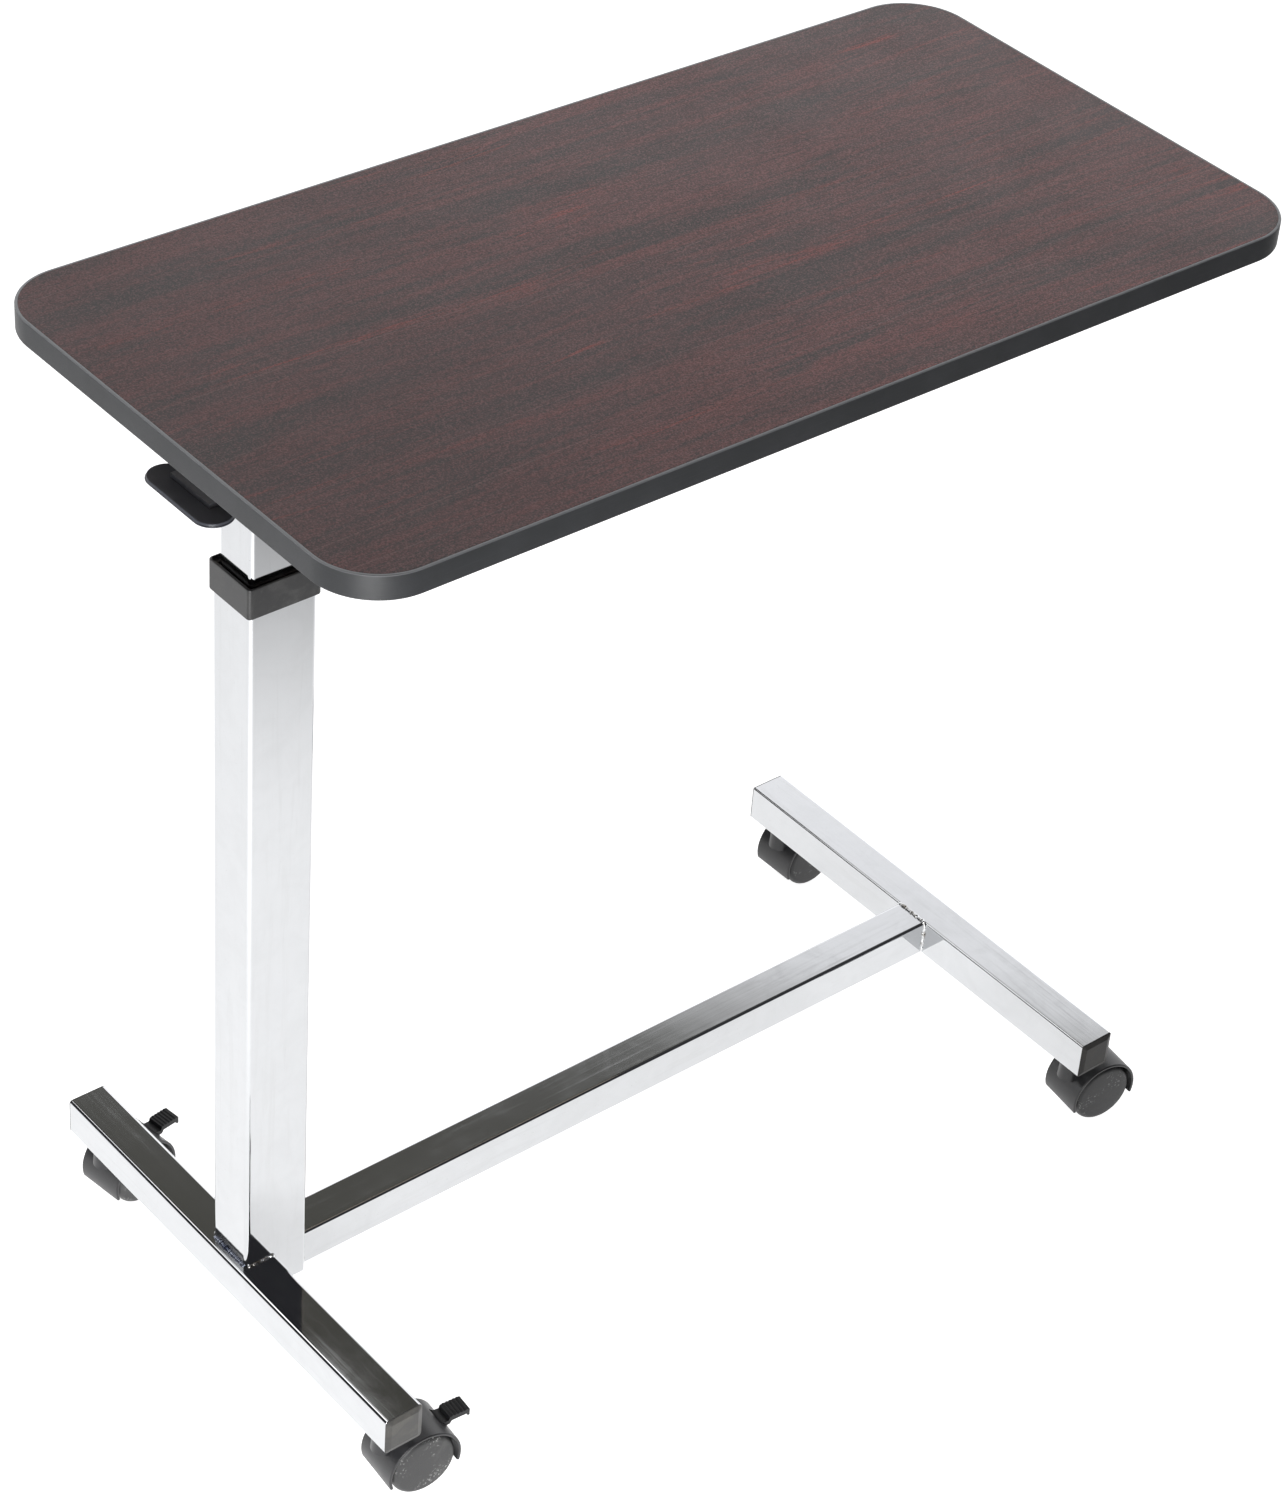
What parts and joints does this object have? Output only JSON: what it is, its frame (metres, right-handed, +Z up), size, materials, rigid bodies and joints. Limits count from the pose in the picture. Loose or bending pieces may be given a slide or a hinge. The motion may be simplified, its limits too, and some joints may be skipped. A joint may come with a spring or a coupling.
{
  "type": "overbed table",
  "caption": "Wheeled overbed table with an H-shaped chromed base, an offset telescopic column and a woodgrain top that rises and locks by a release lever.",
  "frame": {"origin": "on the floor under the centre of the tabletop and of the whole object's box", "axes": "+X from the column towards the free end of the top, +Y towards the far side, +Z up"},
  "size_m": [0.762, 0.3898, 0.771],
  "materials": {
    "chrome": "bright mirror chrome plate",
    "zinc_steel": "zinc plated steel",
    "frame_paint": "black powder coat",
    "woodgrain": "dark mahogany woodgrain laminate, satin",
    "chipboard": "raw particle board",
    "edge_band": "dark grey PVC edging, satin",
    "black_plastic": "black moulded nylon",
    "cap_plastic": "dark grey moulded polythene",
    "caster_plastic": "black moulded nylon, fine grain",
    "wheel_plastic": "dark grey moulded nylon",
    "glide_plastic": "natural acetal"
  },
  "bodies": {
    "base": {"caster_stem_column_far": "zinc_steel", "caster_stem_column_near": "zinc_steel", "caster_stem_free_far": "zinc_steel", "caster_stem_free_near": "zinc_steel", "column_collar": "black_plastic", "column_glide_bush": "glide_plastic", "column_tube": "chrome", "crossbar_tube": "chrome", "end_cap_column_side_far": "cap_plastic", "end_cap_column_side_near": "cap_plastic", "end_cap_free_side_far": "cap_plastic", "end_cap_free_side_near": "cap_plastic", "foot_tube_column_side": "chrome", "foot_tube_free_side": "chrome", "gas_spring_anchor_nut": "zinc_steel", "gas_spring_anchor_plate": "zinc_steel", "gas_spring_cylinder": "frame_paint", "gas_spring_rod_guide": "black_plastic"},
    "mast": {"gas_spring_piston": "zinc_steel", "gas_spring_rod": "chrome", "lever_pivot_pin": "zinc_steel", "mast_foot_glide": "glide_plastic", "mast_head_block": "zinc_steel", "mast_top_plate": "frame_paint", "mast_tube": "chrome", "support_cross_tube": "frame_paint", "support_rail_far": "frame_paint", "support_rail_near": "frame_paint", "tabletop_core": "chipboard", "tabletop_edge_band": "edge_band", "tabletop_laminate": "woodgrain", "top_screw_far_1": "zinc_steel", "top_screw_far_2": "zinc_steel", "top_screw_far_3": "zinc_steel", "top_screw_near_1": "zinc_steel", "top_screw_near_2": "zinc_steel", "top_screw_near_3": "zinc_steel"},
    "release_lever": {"release_lever_arm": "zinc_steel", "release_lever_paddle": "black_plastic"},
    "release_pin": {"gas_spring_release_pin": "chrome"},
    "caster_column_near": {"caster_hood_column_near": "caster_plastic", "caster_axle_column_near": "zinc_steel"},
    "wheel_column_near_near": {"caster_wheel_column_near_near": "wheel_plastic"},
    "wheel_column_near_far": {"caster_wheel_column_near_far": "wheel_plastic"},
    "pedal_column_near": {"brake_pedal_column_near": "caster_plastic"},
    "caster_column_far": {"caster_hood_column_far": "caster_plastic", "caster_axle_column_far": "zinc_steel"},
    "wheel_column_far_near": {"caster_wheel_column_far_near": "wheel_plastic"},
    "wheel_column_far_far": {"caster_wheel_column_far_far": "wheel_plastic"},
    "pedal_column_far": {"brake_pedal_column_far": "caster_plastic"},
    "caster_free_near": {"caster_hood_free_near": "caster_plastic", "caster_axle_free_near": "zinc_steel"},
    "wheel_free_near_near": {"caster_wheel_free_near_near": "wheel_plastic"},
    "wheel_free_near_far": {"caster_wheel_free_near_far": "wheel_plastic"},
    "caster_free_far": {"caster_hood_free_far": "caster_plastic", "caster_axle_free_far": "zinc_steel"},
    "wheel_free_far_near": {"caster_wheel_free_far_near": "wheel_plastic"},
    "wheel_free_far_far": {"caster_wheel_free_far_far": "wheel_plastic"}
  },
  "joints": [
    {"name": "height_slide", "type": "slide", "parent": "base", "child": "mast", "axis": [0, 0, 1], "range_m": [-0.06, 0.34]},
    {"name": "release_lever_hinge", "type": "hinge", "parent": "mast", "child": "release_lever", "pos_m": [-0.322, 0, 0.7345], "axis": [0, 1, 0], "range_deg": [0, 8], "stiffness_Nm_per_rad": 3, "springref_deg": -2.86},
    {"name": "release_pin_slide", "type": "slide", "parent": "mast", "child": "release_pin", "axis": [0, 0, -1], "range_m": [0, 0.0019]},
    {"name": "swivel_column_near", "type": "hinge", "parent": "base", "child": "caster_column_near", "pos_m": [-0.326, -0.169, 0.05], "axis": [0, 0, 1], "continuous": true},
    {"name": "spin_column_near_near", "type": "hinge", "parent": "caster_column_near", "child": "wheel_column_near_near", "pos_m": [-0.30359, -0.17096, 0.0245], "axis": [0.0872, 0.9962, 0], "continuous": true},
    {"name": "spin_column_near_far", "type": "hinge", "parent": "caster_column_near", "child": "wheel_column_near_far", "pos_m": [-0.30359, -0.17096, 0.0245], "axis": [0.0872, 0.9962, 0], "continuous": true},
    {"name": "brake_column_near", "type": "hinge", "parent": "caster_column_near", "child": "pedal_column_near", "pos_m": [-0.28316, -0.17275, 0.04235], "axis": [0.0872, 0.9962, 0], "range_deg": [0, 12]},
    {"name": "swivel_column_far", "type": "hinge", "parent": "base", "child": "caster_column_far", "pos_m": [-0.326, 0.169, 0.05], "axis": [0, 0, 1], "continuous": true},
    {"name": "spin_column_far_near", "type": "hinge", "parent": "caster_column_far", "child": "wheel_column_far_near", "pos_m": [-0.30372, 0.17213, 0.0245], "axis": [-0.1392, 0.9903, 0], "continuous": true},
    {"name": "spin_column_far_far", "type": "hinge", "parent": "caster_column_far", "child": "wheel_column_far_far", "pos_m": [-0.30372, 0.17213, 0.0245], "axis": [-0.1392, 0.9903, 0], "continuous": true},
    {"name": "brake_column_far", "type": "hinge", "parent": "caster_column_far", "child": "pedal_column_far", "pos_m": [-0.28342, 0.17498, 0.04235], "axis": [-0.1392, 0.9903, 0], "range_deg": [0, 12]},
    {"name": "swivel_free_near", "type": "hinge", "parent": "base", "child": "caster_free_near", "pos_m": [0.316, -0.169, 0.05], "axis": [0, 0, 1], "continuous": true},
    {"name": "spin_free_near_near", "type": "hinge", "parent": "caster_free_near", "child": "wheel_free_near_near", "pos_m": [0.33828, -0.17213, 0.0245], "axis": [0.1392, 0.9903, 0], "continuous": true},
    {"name": "spin_free_near_far", "type": "hinge", "parent": "caster_free_near", "child": "wheel_free_near_far", "pos_m": [0.33828, -0.17213, 0.0245], "axis": [0.1392, 0.9903, 0], "continuous": true},
    {"name": "swivel_free_far", "type": "hinge", "parent": "base", "child": "caster_free_far", "pos_m": [0.316, 0.169, 0.05], "axis": [0, 0, 1], "continuous": true},
    {"name": "spin_free_far_near", "type": "hinge", "parent": "caster_free_far", "child": "wheel_free_far_near", "pos_m": [0.3385, 0.16939, 0.0245], "axis": [-0.0175, 0.9998, 0], "continuous": true},
    {"name": "spin_free_far_far", "type": "hinge", "parent": "caster_free_far", "child": "wheel_free_far_far", "pos_m": [0.3385, 0.16939, 0.0245], "axis": [-0.0175, 0.9998, 0], "continuous": true}
  ],
  "couplings": [
    {"joint": "release_pin_slide", "follows": "release_lever_hinge", "m_per_rad": 0.013}
  ]
}
